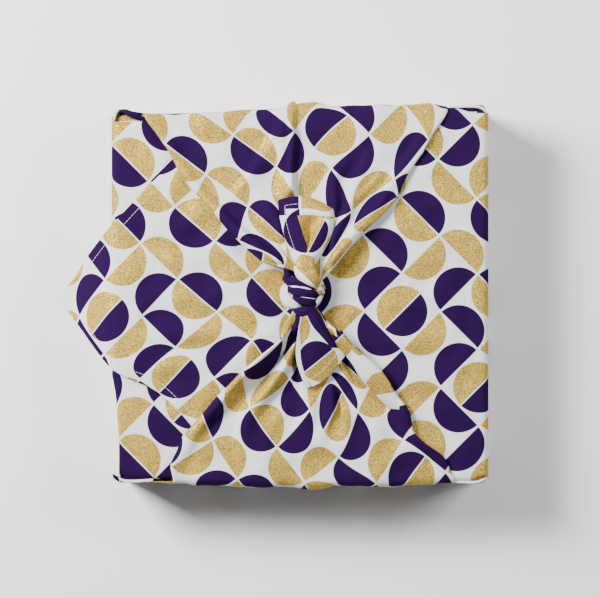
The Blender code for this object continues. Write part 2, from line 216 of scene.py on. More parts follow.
# Ridges (troughs where the height is below 0), each a line of X, Y, width to its left and right, height
FOLD_DEPTH = 1.6  # what the far and near flaps' heights are multiplied by
FAR_CREASES = (
    ((-4.3, 142, 1.8, 16, 1.4), (-6.2, 122, 1.6, 15, 4.2), (-4.6, 112, 2.2, 12, 3.6), (-6.6, 92, 1.5, 9, 4.6),
     (-5.6, 72, 1.6, 7, 4.4), (0, 40, 4, 6, 1.6), (4, 14, 3, 4, 1)),
    ((-9.6, 126, 3, 2, -1.2), (-10, 84, 3, 2, -1.4)),
    ((-16, 121, 9, 2.6, 0.8), (-27, 101, 9, 1.8, 2.2), (-39, 83, 8, 1.8, 2.3), (-51, 69, 6, 2, 1.2)),
    ((-96, 112, 4, 7, 0.8), (-80, 85, 4, 6, 1.4), (-60, 63, 3, 5, 1.6), (-47, 50, 3, 5, 2.4),
     (-36, 40, 3.5, 4, 3.4), (-22, 28, 4, 3.5, 4), (-9, 21, 3, 3, 3)),
    ((-6, 22, 2, 2, -2), (-11.5, 34, 2.5, 2.5, -2.6), (-20, 46, 3, 3, -1.8), (-32, 57, 4, 4, -0.6)),
    ((-4, 27, 3, 3, 2.6), (-14, 48, 4.5, 5, 2.8), (-26, 66, 6, 7, 1.4), (-34, 84, 8, 8, 0.4)),
    ((47, 99, 9, 2, 1), (38, 77, 8, 1.8, 3.2), (32, 58, 6, 2, 3.6), (20, 33, 4, 2, 3)),
    ((24, 96, 5, 6, 0.8), (24, 82, 4, 5, 2.2), (25, 64, 3, 4, 2.2), (17, 36, 3, 3, 1.4)),
    ((36, 106, 4, 5, 0.6), (30, 88, 3, 4, 1.2)),
    ((62, 90, 2.6, 2.2, 0.6), (52, 80, 2.6, 2, 1.4), (42, 70, 2.4, 2, 0.9)),
    ((86, 112, 5, 3, 0.8), (68, 84, 5, 3, 1.6), (58, 66, 4, 3, 2.2), (40, 47, 4, 3, 2.6), (22, 24, 3, 3, 3)),
    ((56, 124, 16, 14, 1), (72, 100, 12, 12, 0.6)),
    ((-72, 126, 14, 14, 0.7), (-62, 104, 14, 12, 0.9)),
)
NEAR_CREASES = (
    ((-6, -22, 3, 3, 3.6), (-19, -36, 3.6, 4.4, 5.6), (-36, -53, 4, 5.5, 6.6), (-50, -68, 4.5, 6, 6),
     (-63, -84, 4.5, 6, 4.2), (-77, -101, 4, 7, 2), (-86, -122, 4, 8, 0.6)),
    ((-2.6, -27, 1.5, 1.5, -2), (-10.6, -41, 2.2, 2.2, -2.6), (-18.5, -51, 3, 2.6, -2.6),
     (-30.5, -64.5, 3.4, 3, -2.4), (-41, -78, 4, 4, -1.4), (-52, -96, 6, 6, -0.6)),
    ((-1.6, -30, 1.8, 2.4, 2.6), (-6, -41, 2.6, 3.2, 3.6), (-12.6, -53.6, 4, 4.4, 4.4),
     (-21.5, -67, 5, 5.5, 4.2), (-32, -80, 6, 7, 3), (-42, -98, 9, 9, 1.2)),
    ((0, -32, 1.6, 1.6, -1), (-3, -48, 2.4, 2.4, -2), (-2, -61, 3, 3, -2.8), (-5, -86, 3, 3, -1.6),
     (-13, -103, 4, 4, -0.5)),
    ((2, -66, 3, 4, 0.6), (8, -76, 5, 5, 2), (6, -92, 7, 7, 1.6), (4, -116, 9, 9, 0.5)),
    ((20.6, -62, 1.6, 5, 1.6), (23.6, -71, 1.5, 6, 4), (24.8, -82, 1.5, 6.5, 3.8), (20, -94, 2.4, 7, 1.8),
     (14, -110, 5, 8, 0.5)),
    ((26, -72, 1.6, 1.6, -1.6), (27, -84, 1.8, 2, -1.8), (23.5, -96, 3, 3, -0.8)),
    ((32, -78, 4, 4, 0.6), (35, -92, 5, 5, 1.8), (30, -106, 6, 6, 0.8)),
    ((22, -24, 3, 2.6, 3), (40, -42, 4.5, 2.6, 1.8), (52, -56, 5, 2.8, 1.4), (63, -68, 5, 2.6, 1.6),
     (73, -80, 4, 2.4, 2.4), (80, -98, 3, 4, 1.8), (98, -118, 4, 4, 1.2), (106, -132, 3, 4, 0.4)),
    ((30, -46, 2.2, 2, -1.4), (42, -62, 2.4, 3, -2.6), (52, -73, 2.4, 3.6, -2.8), (62, -82, 2.6, 4, -2),
     (70, -92, 3, 4, -0.8)),
    ((48, -84, 8, 8, 1.4), (56, -106, 12, 10, 1.6), (62, -126, 12, 12, 0.6)),
    ((76, -108, 6, 6, 1.2), (88, -124, 6, 6, 0.8)),
    ((-20, -104, 10, 10, 0.9), (-30, -126, 12, 12, 1)),
)
RIGHT_CREASES = (
    ((-128, 30, 10, 10, 0.5), (-60, 12, 14, 14, 0.3)),
    ((-120, -28, 8, 8, 0.6), (-70, -34, 10, 10, 0.3)),
    ((60, 20, 14, 14, 0.5), (128, 40, 18, 18, 0.6)),
    ((70, -50, 14, 14, -0.4), (130, -30, 16, 16, 0.4)),
    ((-70, 60, 8, 8, 0.6), (-36, 30, 8, 8, -0.6)),
)

# The corners: side, far or near, how far the pocket gapes, print round the corner, print inside the pocket
CORNERS = (
    (-1, -1, 0.8, (20, 60, 1, 1, 45, CELL, CELL), PURPLE),
    (-1, 1, 3.0, (20, 62, 1.5, 1.2, 45, CELL, CELL), GOLD),
    (1, -1, 1.2, (24, 60, 0, 1, 45, CELL, CELL), GOLD),
    (1, 1, 2.2, (24, 62, 1.5, 1.2, 45, CELL, CELL), PURPLE),
)
LIP = 0.6  # from the pocket's rim to its lining

# The rims of the pockets: print, and rows of X, Y at the outside, X, Y at the inside, height of the crest
RIMS = (
    (PURPLE,
     ((-131.4, 133.4, -130.4, 132.4, -1.6), (-126.4, 133.9, -128, 131.4, 1.8),
      (-122.6, 132.8, -124, 129.2, 2.8), (-117, 130.7, -119.6, 126.8, 2.2),
      (-113.2, 128.8, -114.6, 125.8, 0.2), (-107.5, 127.4, -108.5, 125.2, -1.4))),
    (WHITE,
     ((-134.8, 123.6, -133.6, 123.6, -8), (-134.9, 125.4, -133.6, 125.4, -3),
      (-134.6, 128.2, -132.8, 128, -1.2), (-133.9, 131.4, -131.8, 130.6, -0.8),
      (-132.6, 133, -130.8, 131.9, -1), (-131, 133.5, -130, 132.2, -1.8))),
    (WHITE,
     ((-134.2, 124.8, -134.2, 123.8, -4.6), (-124, 125.4, -124, 124.2, -3.4), (-115, 126.2, -115, 124.8, -3),
      (-108, 126.8, -108, 125.2, -2.8))),
    (WHITE,
     ((106, 136, 106, 134.6, -3.4), (118, 136.6, 118, 134.8, -2.8), (128, 136.6, 127.4, 134.6, -2.8),
      (133, 135, 131.6, 133.2, -3), (135.2, 131.5, 133.8, 131, -3.6))),
    (WHITE,
     ((-131.2, -132.2, -130.4, -131.2, -4.6), (-127, -135, -126.4, -133, -3.7),
      (-118, -135.5, -118, -133.2, -3.6), (-106, -134.6, -106, -132.4, -3.6))),
    (WHITE,
     ((106, -134.8, 106, -133.2, -3), (118, -136, 118, -134, -2.6), (128, -135.8, 127.2, -133.8, -2.6),
      (133.4, -133.4, 132, -132.2, -3), (135.2, -129.6, 134, -129.4, -3.8))),
)

# What shows inside the far left pocket, as a net of X, Y, height
POCKET_LINING = (
    ((-134.6, 124, -10), (-129.6, 124, -6.3), (-120, 124, -6.4), (-104, 124.4, -5.8)),
    ((-134, 129, -10), (-129.6, 129.2, -6.3), (-120, 128.4, -6.4), (-104, 126.8, -6)),
    ((-132, 132.6, -14), (-129, 131.8, -13), (-121, 130.6, -12), (-104, 130.4, -9)),
)

# What shows inside the others: side, far or near, print, height of the side flap, and the net they share
CORNER_PATCHES = ((1, -1, GOLD, -2.1), (1, 1, PURPLE, -2.1), (-1, -1, PURPLE, -3.9))
PATCH = (
    ((106, 131.2, -1), (124, 131.2, -1.1), (130.6, 131, -1.2), (135, 129, -2.6)),
    ((106, 133.2, -2), (124, 133.2, -2.2), (130.4, 133, -2.4), (134.8, 131, -4)),
    ((106, 135.2, -4.6), (124, 135.2, -4.8), (130, 134.8, -5), (133.8, 132.6, -7)),
)

# The knot's strands: pleats, their depth, print, path (X, Y, height above the gathers, width, thickness)
STRANDS = (
    (0, 0, WHITE,
     ((-11, 4.5, -2, 7, 7), (-6, 2.5, 0, 13, 11), (1, 1.5, 0.5, 15, 13), (7.5, -0.5, 0, 13, 11),
      (12, -2, -2, 8, 8))),
    (7, 0.16, PURPLE,
     ((-10.6, 12, -3, 5, 5), (-7, 9.6, 4.6, 7.4, 6), (-0.8, 8.8, 8, 8, 6), (4.6, 7.2, 8.2, 6.6, 5.6),
      (8.6, 5.2, 6, 5, 4.4), (11, 3, 0, 3, 3))),
    (7, 0.16, PURPLE,
     ((-9.2, 7, -2, 5, 5), (-5.8, 4.4, 4.8, 7.4, 6), (-0.2, 2.2, 8, 8, 6.2), (6, 1.2, 8, 7.4, 6),
      (11, 0.4, 4.6, 6, 5), (13.5, -0.6, -2, 4, 4))),
    (7, 0.16, PURPLE,
     ((-6, 2, -1, 5, 5), (-2.4, -1.6, 4.8, 7, 6), (2.8, -3.8, 6.2, 7.6, 6), (8.4, -5.2, 4.4, 7, 5.4),
      (12, -7, -2, 5, 5))),
    (0, 0, WHITE,
     ((-8.4, 7.8, 4.6, 2.4, 1), (-5, 6.2, 8.4, 1.8, 1.2), (-0.4, 5.6, 10.6, 1.1, 1), (4.4, 4.8, 10.6, 1.5, 1),
      (9, 3.2, 8.2, 0.9, 0.9))),
    (0, 0, WHITE,
     ((-4.6, 1.4, 6.4, 0.7, 0.7), (0.2, -1, 9.4, 0.8, 0.8), (5.2, -2, 9.4, 0.8, 0.8),
      (10.6, -2.8, 6.6, 0.7, 0.7))),
    (2, 0.06, (1.84, 14.7, 1, 2.5, 46, 30, 30),
     ((6.4, 31, -1, 6, 4), (5.4, 27.6, 6.6, 10, 5), (4.2, 23, 9.6, 13.5, 6), (3.4, 17.8, 9.4, 15.5, 6.5),
      (7.8, 11.8, 9.4, 13, 6.5), (12.4, 7.8, 6, 9, 5.5), (15, 4, -3, 7, 5))),
    (6, 0.2, WHITE,
     ((-7, 8, -3, 5, 5), (-10.4, 4.6, 2.4, 6.5, 6.5), (-10.4, 0.2, 3.8, 8.5, 7), (-7.2, -5, 4, 10, 7),
      (-1.6, -7.2, 2.8, 6.5, 6), (4, -8.6, -3, 4, 4))),
    (0, 0, GOLD, ((9, 9.5, 3, 3, 3), (14.6, 7.6, 4.6, 3.4, 3.4), (17, 4.6, -3, 3, 3))),
    (0, 0, WHITE, ((9, 6.5, 4, 3, 3), (14.4, 4.6, 4.6, 3.4, 3.4), (16.4, 1.8, -3, 3, 3))),
    (0, 0, GOLD, ((9, 3.6, 3, 3, 3), (13.8, 1.8, 4.2, 3.2, 3.4), (15.6, -1, -3, 3, 3))),
    (3, 0.1, WHITE, ((14.4, 1.5, -1, 4, 4), (13, -3, 2.4, 5.4, 5), (9.6, -8.4, 0.4, 4.4, 4))),
    (3, 0.1, PURPLE, ((-9.8, 20.5, -5, 4, 4), (-9.2, 15.5, -0.6, 5, 4), (-7, 9.5, 0, 5, 4))),
    (7, 0.3, PURPLE,
     ((-4.4, -9, 1, 4, 3), (-1, -11.6, 6.6, 6.5, 3), (5, -11.8, 8.2, 7.5, 3), (11.4, -10, 3, 6, 3))),
    (3, 0.15, PURPLE,
     ((-1.6, -11, 3, 4, 3), (-1.4, -18, 3.4, 4.6, 3), (-4.4, -25.4, 1.8, 4.6, 3), (-9, -32.4, -3, 3.4, 2))),
)

# The far tail, by lines from side to side: X, Y, height above the flap under it. The first five lie between
# the knot and the hem, with a fold in their middle, three on the turned hem, and two on the fold above it.
FAR_TAIL = (
    ((-4, 22, 5), (-0.5, 23, 8.6), (3.6, 24, 10), (3.9, 24, 9.8), (4.2, 24, 10), (7.4, 22.8, 8.6),
     (10.4, 21.4, 5)),
    ((-8.3, 33, 4), (-3.2, 33.5, 9), (5, 34.6, 9.6), (5.4, 34.6, 8), (6.3, 34.6, 9.6), (12.2, 33.2, 8.6),
     (17, 32, 5)),
    ((-11, 41, 3.6), (-5.8, 41.5, 9), (2.7, 42, 10.2), (6.6, 42, 3.2), (10.9, 43, 9.8), (16.6, 41.6, 8.4),
     (21.6, 41, 4.8)),
    ((-13.4, 49.5, 3.2), (-8.4, 50, 8.6), (0.1, 50.3, 10.2), (7.6, 50, 2.6), (14.2, 50, 9.6), (20, 49.6, 8.2),
     (24.1, 49.3, 4.6)),
    ((-14.9, 57, 3), (-10.4, 57.2, 7.6), (-1.9, 57, 9.4), (7.6, 57, 8.6), (16.4, 56.4, 9), (21.4, 56.2, 7.8),
     (24.3, 56, 4.8)),
    ((-14.9, 57, 3), (-10.4, 57.2, 7.6), (-1.9, 57, 9.4), (7.6, 57, 9), (16.4, 56.4, 9), (21.4, 56.2, 7.8),
     (24.3, 56, 4.8)),
    ((-15.1, 59, 2.9), (-10.7, 59.4, 7.6), (-2, 59.4, 9.8), (7.5, 59.4, 10.2), (16.2, 58.4, 9.2),
     (21.4, 58, 7.8), (24.3, 57.6, 4.8)),
    ((-15.3, 61, 2.8), (-10.9, 61.6, 7.2), (-2, 61.8, 9.2), (7.5, 61.8, 9.8), (16, 60.2, 8.8),
     (21.4, 59.4, 7.4), (24.2, 59, 4.6)),
    ((-15.7, 65, 2.5), (-11.2, 66, 6), (-2, 67, 7.6), (7, 67, 8.2), (15.2, 64, 7.6), (20.8, 62, 6.4),
     (23.9, 61, 4.2)),
    ((-15.9, 68.4, 2), (-10.5, 69.8, 5), (-2, 70.9, 6), (6, 70.6, 6.4), (14.2, 67.2, 6), (20, 64.2, 5.2),
     (23.5, 62.2, 3.6)),
)
FAR_UNDER = (
    ((10.4, 21.4, 5), (10.6, 21.2, 3), (8, 21.6, 2), (3, 22, 1.8), (-3, 22, 3)),
    ((17, 32, 5), (17.2, 32, 2.8), (14, 32.4, 1.6), (4, 33, 1), (-6.5, 33, 2.4)),
    ((21.6, 41, 4.8), (21.9, 41, 2.8), (18, 41.4, 1.5), (6, 42, 0.8), (-8.5, 42, 2.2)),
    ((24.1, 49.3, 4.6), (24.5, 49.4, 2.8), (20, 50, 1.4), (7, 51, 0.8), (-10.5, 51, 2)),
    ((24.3, 56, 4.8), (24.8, 56.2, 2.9), (20.5, 57, 1.4), (7.5, 59, 0.9), (-12, 59, 1.8)),
    ((24.2, 59, 4.6), (24.7, 59, 2.8), (20.5, 60, 1.4), (7.5, 64, 1.2), (-12.5, 64, 1.7)),
    ((23.5, 62.2, 3.6), (23.8, 62, 2.4), (20, 63, 1.4), (7.5, 68.5, 1.2), (-13, 67.5, 1.6)),
)

# The near tail, by lines from side to side: its broad side, what turns over beside that, and its underside
NEAR_TAIL = (
    ((-1.5, -12.5, 5), (0, -13.2, 7), (2, -13.6, 8.2), (3.2, -13.3, 8.8), (4.5, -12.8, 9), (8, -10.6, 8.2),
     (10.9, -8.5, 5), (11.2, -8.4, 3), (8, -10, 2), (4, -11.4, 1.8), (-1, -12.4, 3.6)),
    ((0.1, -16.5, 5), (1.4, -16.8, 5.8), (2.9, -16.9, 8.4), (4.6, -17.2, 9.2), (6.3, -17.5, 9.4),
     (11.4, -16.4, 8.8), (15.5, -15.3, 4.8), (15.9, -15.3, 2.8), (12, -16, 1.6), (6, -16.5, 1.4),
     (0.6, -16.5, 2.6)),
    ((-0.9, -24, 5.4), (1.8, -24, 4), (5.4, -23.7, 7.8), (7.8, -23.8, 8.8), (10.2, -24, 9.2),
     (15.4, -24, 8.6), (19.5, -23.8, 4.6), (19.9, -23.8, 2.8), (16, -24, 1.5), (7, -24, 1.3),
     (-0.5, -24, 2.2)),
    ((-2.3, -33.5, 5.8), (3, -33, 4.2), (8.8, -32.5, 7.4), (13, -32.3, 8.4), (17.3, -32, 8.6),
     (21.6, -32.2, 7.8), (24.5, -32.3, 4.4), (24.9, -32.3, 2.8), (20, -32.6, 1.5), (9, -33, 1.3),
     (-1.9, -33.5, 2.4)),
    ((-3, -41, 5.8), (3.6, -41, 5), (10.6, -40.2, 7.2), (16.6, -39.2, 7.6), (22.4, -38, 7.6),
     (25.4, -38, 7.2), (27, -38, 5), (27.4, -38, 3), (22, -39.4, 1.6), (10, -41, 1.3), (-2.4, -41, 3)),
    ((-2.2, -49, 5.2), (4.6, -48.6, 5.6), (12.4, -46.6, 6.8), (19, -43.6, 6.8), (25.6, -40.6, 6.6),
     (28, -40.2, 6.4), (29.6, -40, 4.6), (30, -40, 2.9), (24, -43, 1.6), (11, -48, 1.3), (-1.6, -49, 2.6)),
    ((0.6, -58.1, 4), (7.2, -57, 5), (15.2, -53.6, 6), (21.8, -48.6, 6), (28, -43.2, 5.6), (29.8, -42.4, 5.4),
     (31.4, -42, 4.2), (31.7, -42, 2.8), (26, -47, 1.6), (13, -55, 1.3), (1.2, -57.6, 2)),
    ((4.7, -67.4, 2.4), (10.8, -65.4, 3.8), (18.4, -60.4, 4.8), (25.2, -53.2, 4.8), (30.4, -46.4, 4.4),
     (31.4, -45.2, 4.2), (32.4, -43.8, 3.4), (32.5, -43.9, 2.6), (28, -48, 1.6), (17, -60, 1.3),
     (5.6, -65.6, 1.5)),
)

# The folded band that runs from the knot over the near flap's right side, by lines along it
NEAR_BAND = (
    ((24.5, -29, 0.4), (29, -36, 0.5), (36.5, -43.6, 0.6), (41.5, -49.6, 0.6), (44.6, -55.4, 0.6),
     (50.6, -62.6, 0.6), (57.4, -72.4, 0.6), (66.4, -81, -1)),
    ((21.5, -29, 2.2), (26.5, -36.6, 3.4), (33, -43.9, 3.4), (38, -50.6, 4), (42.6, -58.4, 4.4),
     (48, -64.3, 4.4), (55.3, -72.9, 3.8), (64.2, -82, 1)),
    ((25.4, -27.6, 6.4), (30.6, -34.8, 7), (36.5, -41.6, 6), (42.6, -47.8, 6.6), (48.6, -54.4, 7),
     (54.4, -61.8, 6.8), (61.8, -72.2, 5.6), (71.6, -82.6, 3)),
    ((29, -26, 5.4), (34.4, -32.8, 5.6), (40.4, -39.8, 4.6), (46.8, -45.2, 5), (55.4, -52.8, 5.2),
     (61.6, -60.4, 5.2), (68, -71.4, 4.4), (77.6, -83, 2.6)),
    ((30, -25.4, 1.6), (35.4, -32.2, 1.8), (41.2, -38.8, 2.2), (48.2, -44.8, 2.2), (56.8, -52.4, 2.2),
     (62.9, -60.2, 2.2), (69.3, -71.2, 2), (78.8, -82.6, 0.8)),
    ((28.4, -26.4, 0.4), (33.8, -33.2, 0.5), (39.4, -40, 0.6), (46.6, -46, 0.6), (55, -53.6, 0.6),
     (61, -61.2, 0.6), (67.4, -72, 0.6), (77, -83.2, -1)),
)

# The print on the tails and on the band
WING_SPOT = (4.4, 46.3, 1.5, 1, 101.6, 34.3, 34.3)
RIGHT_WING_SPOT = (11.65, 42, 1.5, 1, 242.4, 27, 15)
TOP_SPOT = (0.6, 72, 1.5, 1, 70, 24.2, 52.6)
UNDER_SPOT = (0, 40, 0, 0.5, 45, CELL, CELL)
NEAR_SPOT = (13.2, -47.6, 1.5, 1, 38.9, 29, 32.3)
BAND_START_SPOT = (25.4, -33.8, 1.5, 1, 45, 27, 27)
BAND_END_SPOT = (61.7, -73, 1.5, 1, 207, 30, 39)

# Colours
GROUND = (0.69, 0.705, 0.725, 1)
PURPLE_INK = (0.015, 0.0018, 0.038, 1)
# The gold grains are mixed at random between GOLD_DARK and GOLD_LIGHT, then partly dulled: partly the foil's
# own uneven tone, partly painted glint and painted shade on single grains
GOLD_LIGHT = (0.90, 0.60, 0.10, 1)
GOLD_DARK = (0.05, 0.032, 0.003, 1)
GOLD_DULL = (0.34, 0.25, 0.11, 1)
THREAD = (0.70, 0.66, 0.76, 1)
BOARD_DARK = (0.42, 0.33, 0.24, 1)
BOARD_LIGHT = (0.58, 0.48, 0.37, 1)
FLOOR = (0.97, 0.97, 0.97, 1)
GLITTER_SCALE = 2300.0  # grains to the metre

# The camera
PIXEL = 0.72
PICTURE_WIDTH = 600
CAMERA_HEIGHT = 3000.0
CAMERA_Y = -2.9


def smooth(t):
    t = np.clip(t, 0.0, 1.0)
    return t * t * (3 - 2 * t)


def eased(low, high, leave, arrive, s):
    """A smooth curve from low to high, with its slope at each end, at the share s of the way."""
    rise = high - low
    return low + s * leave + s ** 2 * (3 * rise - 2 * leave - arrive) + s ** 3 * (leave + arrive - 2 * rise)


def read(table, key, column=1):
    """A column of a table at these keys, on a smooth curve through its rows."""
    rows = np.array(table, float)
    keys, values = rows[:, 0], rows[:, column]
    slopes = np.gradient(values, keys)
    at = np.clip(np.searchsorted(keys, key) - 1, 0, len(keys) - 2)
    wide = keys[at + 1] - keys[at]
    s = np.clip((key - keys[at]) / wide, 0.0, 1.0)
    return eased(values[at], values[at + 1], slopes[at] * wide, slopes[at + 1] * wide, s)


def drawn(points, count):
    """A smooth curve of count points through the rows of an array, evenly shared among its rows."""
    points = np.asarray(points, float)
    slopes = np.gradient(points, axis=0) if len(points) > 2 else np.diff(points, axis=0).repeat(2, 0)
    place = np.linspace(0, len(points) - 1, count)
    at = np.clip(place.astype(int), 0, len(points) - 2)
    s = (place - at).reshape((-1,) + (1,) * (points.ndim - 1))
    return eased(points[at], points[at + 1], slopes[at], slopes[at + 1], s)


def spaced(stops, step):
    """The stops with as many places between them as a step asks for."""
    out = [stops[0]]
    for low, high in zip(stops, stops[1:]):
        count = max(1, round((high - low) / step))
        out += list(np.linspace(low, high, count + 1)[1:])
    return np.array(out)


def pinned(pins):
    """A function that gives the pins' two values at any X, Y: a thin plate bent through them."""
    pins = np.array(pins, float)
    spots = pins[:, :2] / 100

    def kernel(x, y):
        r2 = (x[..., None] - spots[:, 0]) ** 2 + (y[..., None] - spots[:, 1]) ** 2
        return 0.5 * r2 * np.log(r2 + 1e-12)

    count = len(pins)
    flat = np.c_[np.ones(count), spots]
    bent = kernel(spots[:, 0], spots[:, 1]) + 1e-4 * np.eye(count)
    system = np.block([[bent, flat], [flat.T, np.zeros((3, 3))]])
    weights = np.linalg.solve(system, np.r_[pins[:, 2:], np.zeros((3, 2))])

    def value_at(x, y):
        x, y = x / 100, y / 100
        plane = [np.ones(x.shape + (1,)), x[..., None], y[..., None]]
        return np.concatenate([kernel(x, y), *plane], -1) @ weights

    return value_at


def creased(x, y, lines):
    """The height that ridges and troughs give at X, Y."""
    total = np.zeros_like(x)
    for line in lines:
        nearest = np.full(x.shape, 1e9)
        height = np.zeros_like(x)
        for start, end in zip(np.array(line[:-1]), np.array(line[1:])):
            run = end[:2] - start[:2]
            s = np.clip(((x - start[0]) * run[0] + (y - start[1]) * run[1]) / (run @ run), 0, 1)
            over_x = x - start[0] - s * run[0]
            over_y = y - start[1] - s * run[1]
            away = np.hypot(over_x, over_y) + 1e-9
            to_left = (run[0] * over_y - run[1] * over_x) / np.linalg.norm(run) / away
            left, right, high = start[2:, None, None] + s * (end - start)[2:, None, None]
            wide = right + (left - right) * (0.5 + 0.5 * to_left)
            height = np.where(away < nearest, high * np.exp(-(away / wide) ** 2), height)
            nearest = np.minimum(nearest, away)
        total += height
    return total


def rumple(x, y):
    """The height of the small waves that the cloth has all over."""
    total = 0.0 * x
    for length, turn, high, start in RUMPLES:
        along = (x * math.cos(turn) + y * math.sin(turn)) * 2 * math.pi / length
        across = (y * math.cos(turn) - x * math.sin(turn)) * 2 * math.pi / length
        total = total + high * np.sin(along + start + 1.5 * np.sin(across / 2.7 + start))
    return total


def round_edge(way, centre_out, centre_up, radius):
    """(out, up) of a cloth over a rounded edge. Where its centre is above 0, it also turns in at its foot."""
    angle = np.clip(way / radius, 0, math.pi / 2)
    down = np.maximum(way - radius * math.pi / 2, 0.0)
    out = centre_out + np.minimum(way, 0.0) + radius * np.sin(angle)
    up = centre_up + radius * np.cos(angle) - down
    under = np.clip((FOOT_RADIUS - up) / FOOT_RADIUS, 0, math.pi / 2)
    foot = (centre_up > 0) & (up < FOOT_RADIUS)
    out = np.where(foot, out - FOOT_RADIUS * (1 - np.cos(under)), out)
    up = np.where(foot, FOOT_RADIUS * (1 - np.sin(under)), up)
    return out, up


def ways_over(top_stops, wall_stops, centre_up, top_step, wall_step):
    """Ways on a flap's top, round the edge, and down the wall to where the cloth has turned in."""
    end = EDGE_TURN + centre_up - FOOT_RADIUS + FOOT_RADIUS * math.pi / 2
    top = spaced(top_stops, top_step)
    turn = spaced([0.0, EDGE_TURN], EDGE_STEP)
    wall = spaced([EDGE_TURN, *wall_stops, end - 4, end], wall_step)
    return np.concatenate([top, turn[1:], wall[1:]])


def climb(level):
    """How far the gathers lift the flaps at a distance from the box's middle line."""
    return RISE * smooth(1 - (level - KNOT_REACH) / RISE_RUN)


def print_of(x, y, tables):
    """The print's counts on a side flap, at its unrolled X, Y."""
    y = y + PRINT_SHIFT
    places = (x - y) / math.sqrt(2), (-x - y) / math.sqrt(2)
    return np.stack([np.interp(place, *table) for place, table in zip(places, tables)], -1)


def print_by(spot, x, y):
    """The print's counts at X, Y where a spot lays it flat."""
    x0, y0, a0, b0, turn, size_a, size_b = spot
    c, s = math.cos(math.radians(turn)), math.sin(math.radians(turn))
    x, y = x - x0, y - y0
    return np.stack([a0 + (x * c + y * s) / size_a, b0 + (y * c - x * s) / size_b], -1)


def hem_of(to_corner, t):
    """(distance from the nearer hem, place along it) of a place on a side flap."""
    return np.stack([to_corner - np.abs(t), to_corner + np.abs(t)], -1) / math.sqrt(2)


def placed(name, data, place=(0, 0, 0)):
    made = bpy.data.objects.new(name, data)
    made.location = place
    bpy.context.scene.collection.objects.link(made)
    return made


class Cloth:
    """Grids of points that are sewn together into one mesh."""

    def __init__(self):
        self.grids, self.faces, self.count = [], [], 0

    def add(self, points, prints, hems=None, flip=False):
        hems = np.full(prints.shape, NO_HEM) if hems is None else hems
        rows, columns = prints.shape[:2]
        at = self.count + np.arange(rows * columns).reshape(rows, columns)
        quads = np.stack([at[:-1, :-1], at[:-1, 1:], at[1:, 1:], at[1:, :-1]], -1).reshape(-1, 4)
        self.faces.append(quads[:, ::-1] if flip else quads)
        self.grids.append(np.concatenate([points, prints, hems], -1).reshape(-1, 7))
        self.count += rows * columns

    def build(self, name, settle=lambda points: points):
        """The mesh object: the cloth's outer face, settled and thickened inwards."""
        places, faces = np.concatenate(self.grids), np.concatenate(self.faces)
        mesh = bpy.data.meshes.new(name)
        mesh.from_pydata((settle(places[:, :3]) * MM).tolist(), [], faces.tolist())
        for layer, column in (("Print", 3), ("Hem", 5)):
            spots = places[faces.ravel(), column:column + 2].astype(np.float32)
            mesh.uv_layers.new(name=layer).data.foreach_set("uv", spots.ravel())
        mesh.shade_smooth()
        made = placed(name, mesh)
        made.modifiers.new("Sew", "WELD").merge_threshold = 0.00001
        thick = made.modifiers.new("Thickness", "SOLIDIFY")
        thick.thickness = CLOTH * MM
        thick.offset = -1
        return made


def underside(cloth):
    places = spaced([FOOT_RADIUS - WRAP_OUT, WRAP_OUT - FOOT_RADIUS], UNDER_STEP)
    y, x = np.meshgrid(places, places, indexing="ij")
    points = np.stack([x, y, np.zeros_like(x)], -1)
    cloth.add(points, print_of(UNDER_SHIFT - x, y, (RIGHT_A, RIGHT_B)), flip=True)


